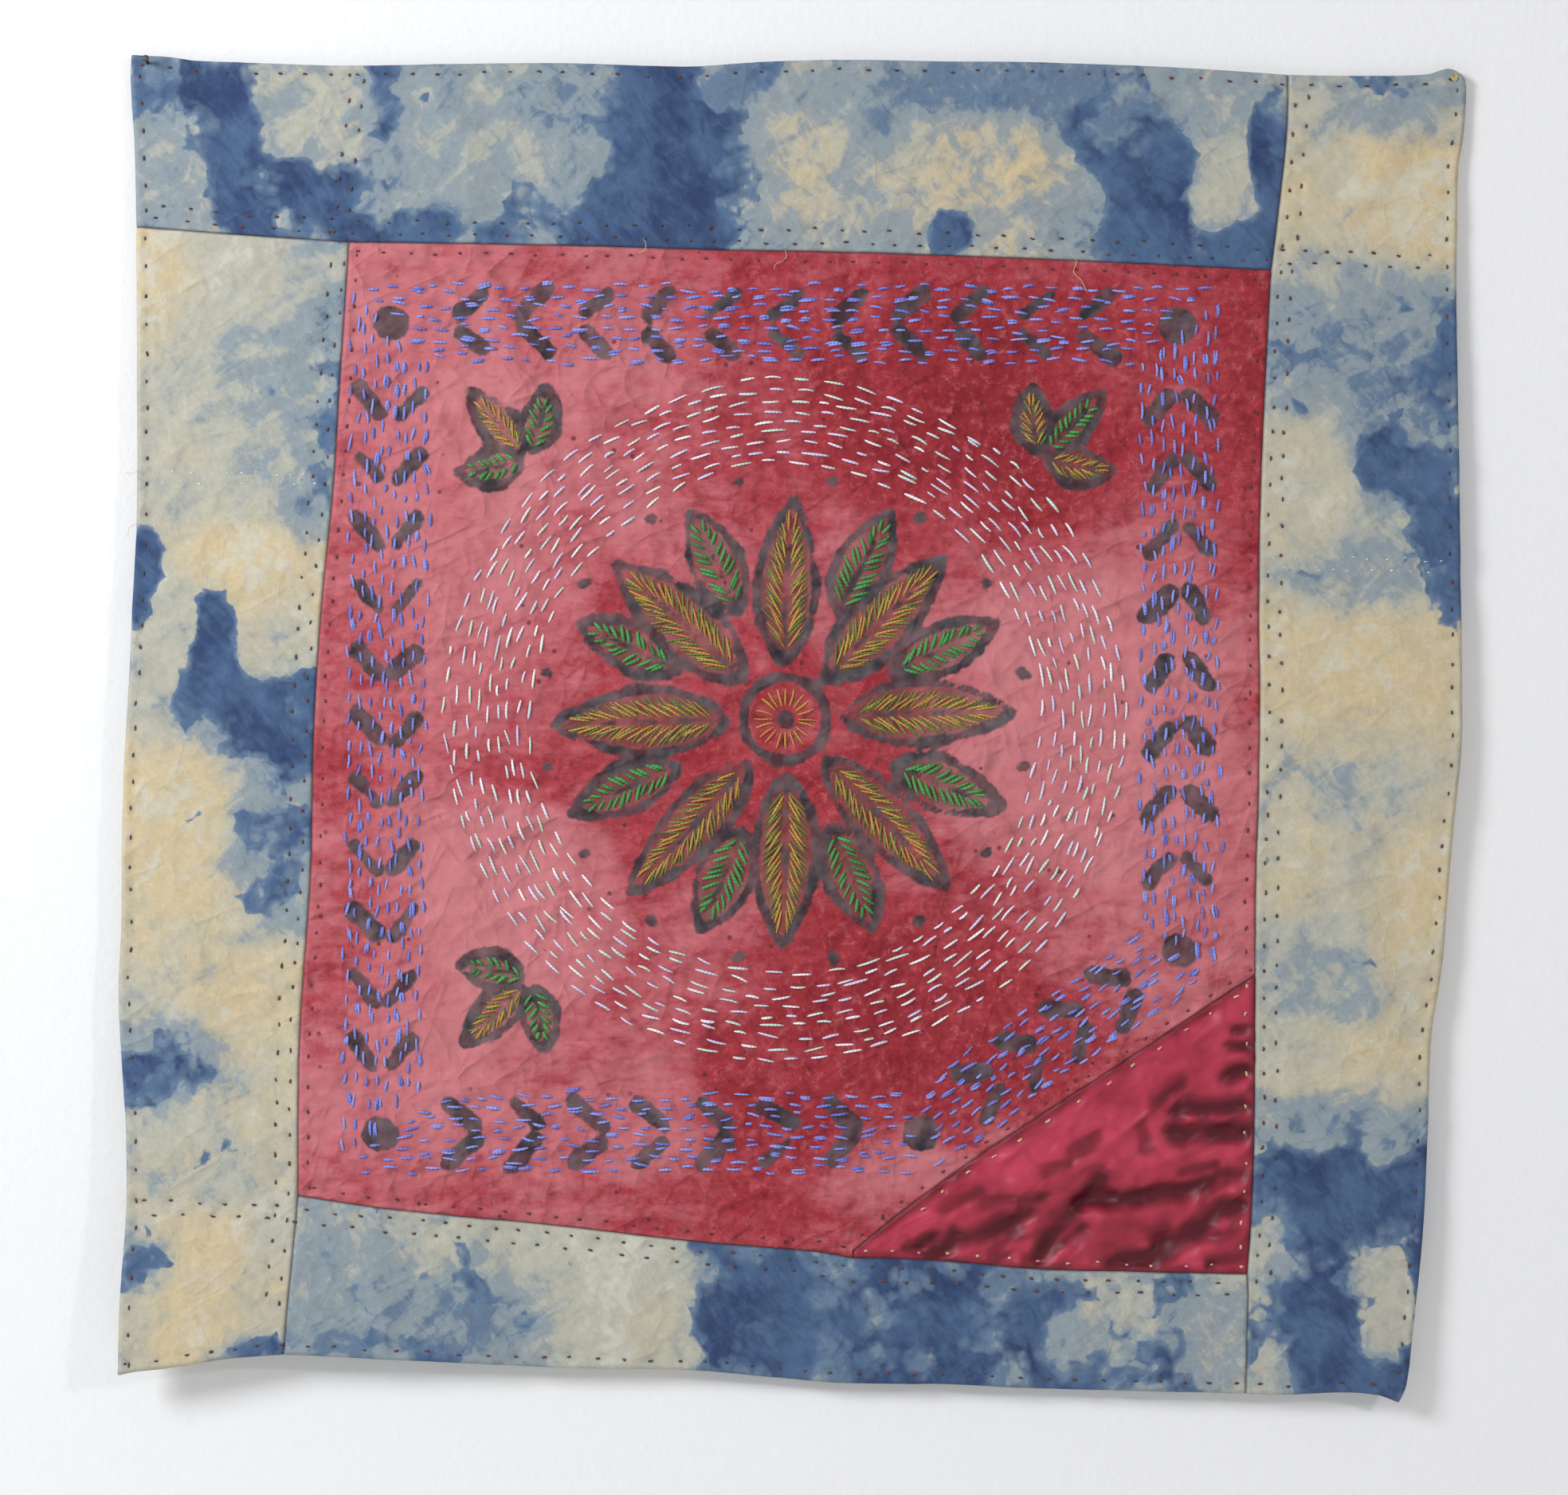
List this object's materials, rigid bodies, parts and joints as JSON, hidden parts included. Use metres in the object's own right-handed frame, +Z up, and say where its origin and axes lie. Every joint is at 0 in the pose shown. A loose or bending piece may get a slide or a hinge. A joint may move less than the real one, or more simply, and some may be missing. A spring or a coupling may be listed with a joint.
{
  "type": "embroidered wall hanging with nails",
  "caption": "Square pieced cloth wall hanging: dyed cotton borders round a stitched red panel with a gathered satin corner, hung flat from a nail at each top corner.",
  "frame": {"origin": "on the wall plane, midway between the two nails at the top corners", "axes": "+Z up, +X to the right as seen from the room, -Y out of the wall towards the room"},
  "size_m": [0.8417, 0.046, 0.8412],
  "materials": {
    "indigo_cotton": "tie-dyed plain-weave cotton, matt",
    "cream_blue_cotton": "tie-dyed plain-weave cotton, matt",
    "mid_blue_cotton": "tie-dyed plain-weave cotton, matt",
    "pale_blue_cotton": "tie-dyed plain-weave cotton, matt",
    "red_cotton": "mottled hand-dyed plain-weave cotton, matt",
    "burgundy_satin": "satin weave, soft gloss",
    "stitch_thread": "stranded cotton embroidery thread, slight sheen",
    "steel": "dull steel wire",
    "brass": "bright brass"
  },
  "bodies": {
    "root": {"border_top": "indigo_cotton", "border_right": "cream_blue_cotton", "border_bottom": "mid_blue_cotton", "border_left": "pale_blue_cotton", "centre_panel": "red_cotton", "satin_corner": "burgundy_satin", "nail_left": "steel", "nail_right": "brass"}
  },
  "joints": []
}
